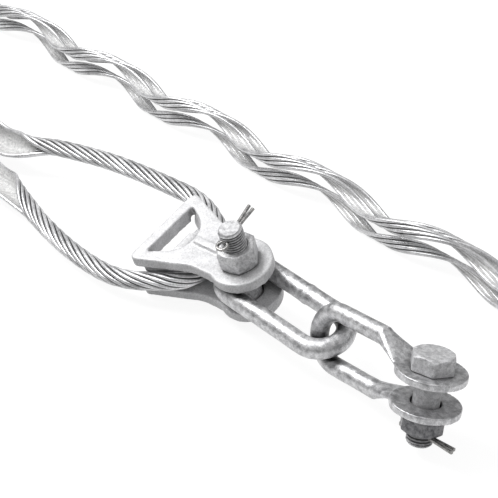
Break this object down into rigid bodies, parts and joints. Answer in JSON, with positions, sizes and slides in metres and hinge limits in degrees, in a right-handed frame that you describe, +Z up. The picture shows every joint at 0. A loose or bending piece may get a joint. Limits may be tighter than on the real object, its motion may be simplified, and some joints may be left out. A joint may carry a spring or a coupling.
{
  "type": "ground wire strain clamp",
  "caption": "Preformed helical wire grip looped round a clevis thimble, with oblong ring, bolted shackle and helical armour rods, for anchoring an overhead ground wire.",
  "frame": {"origin": "middle of the shackle bolt between the eyes, where the clamp is pinned to the tower", "axes": "+X from the wire towards the shackle, parallel to the legs and the armour rods; +Z up from the floor the set lies on"},
  "size_m": [0.9373, 0.2066, 0.0798],
  "materials": {
    "thimble": "hot-dip galvanised casting, pale satin",
    "forgings": "hot-dip galvanised round bar, mottled",
    "bolts": "hot-dip galvanised, dull",
    "split_pins": "bright steel wire",
    "grip_wire": "aluminium-clad steel wire, bright",
    "armour_wire": "aluminium-clad steel wire, bright"
  },
  "bodies": {
    "grip_and_thimble": {"clevis_thimble": "thimble", "preformed_grip": "grip_wire", "armour_rods_1": "armour_wire", "armour_rods_2": "armour_wire", "armour_rods_3": "armour_wire"},
    "thimble_bolt_set": {"thimble_bolt": "bolts", "thimble_nut": "bolts", "thimble_split_pin": "split_pins"},
    "ring": {"extension_ring": "forgings"},
    "shackle_body": {"shackle": "forgings"},
    "shackle_bolt_set": {"shackle_bolt": "bolts", "shackle_nut": "bolts", "shackle_split_pin": "split_pins"}
  },
  "joints": [
    {"name": "thimble_bolt_spin", "type": "hinge", "parent": "grip_and_thimble", "child": "thimble_bolt_set", "pos_m": [-0.15371, 0.00349, -0.0088], "axis": [-0.0269, -0.2825, 0.9589], "continuous": true},
    {"name": "ring_swing", "type": "hinge", "parent": "grip_and_thimble", "child": "ring", "pos_m": [-0.15371, 0.00349, -0.0088], "axis": [-0.0269, -0.2825, 0.9589], "range_deg": [-45, 25]},
    {"name": "shackle_pitch", "type": "hinge", "parent": "ring", "child": "shackle_body", "pos_m": [-0.0724, 0.00505, -0.01221], "axis": [0.0887, 0.9625, -0.2562], "range_deg": [-40, 40]},
    {"name": "shackle_bolt_spin", "type": "hinge", "parent": "shackle_body", "child": "shackle_bolt_set", "pos_m": [0, 0, 0], "axis": [-0.1219, 0.2658, 0.9563], "continuous": true}
  ]
}
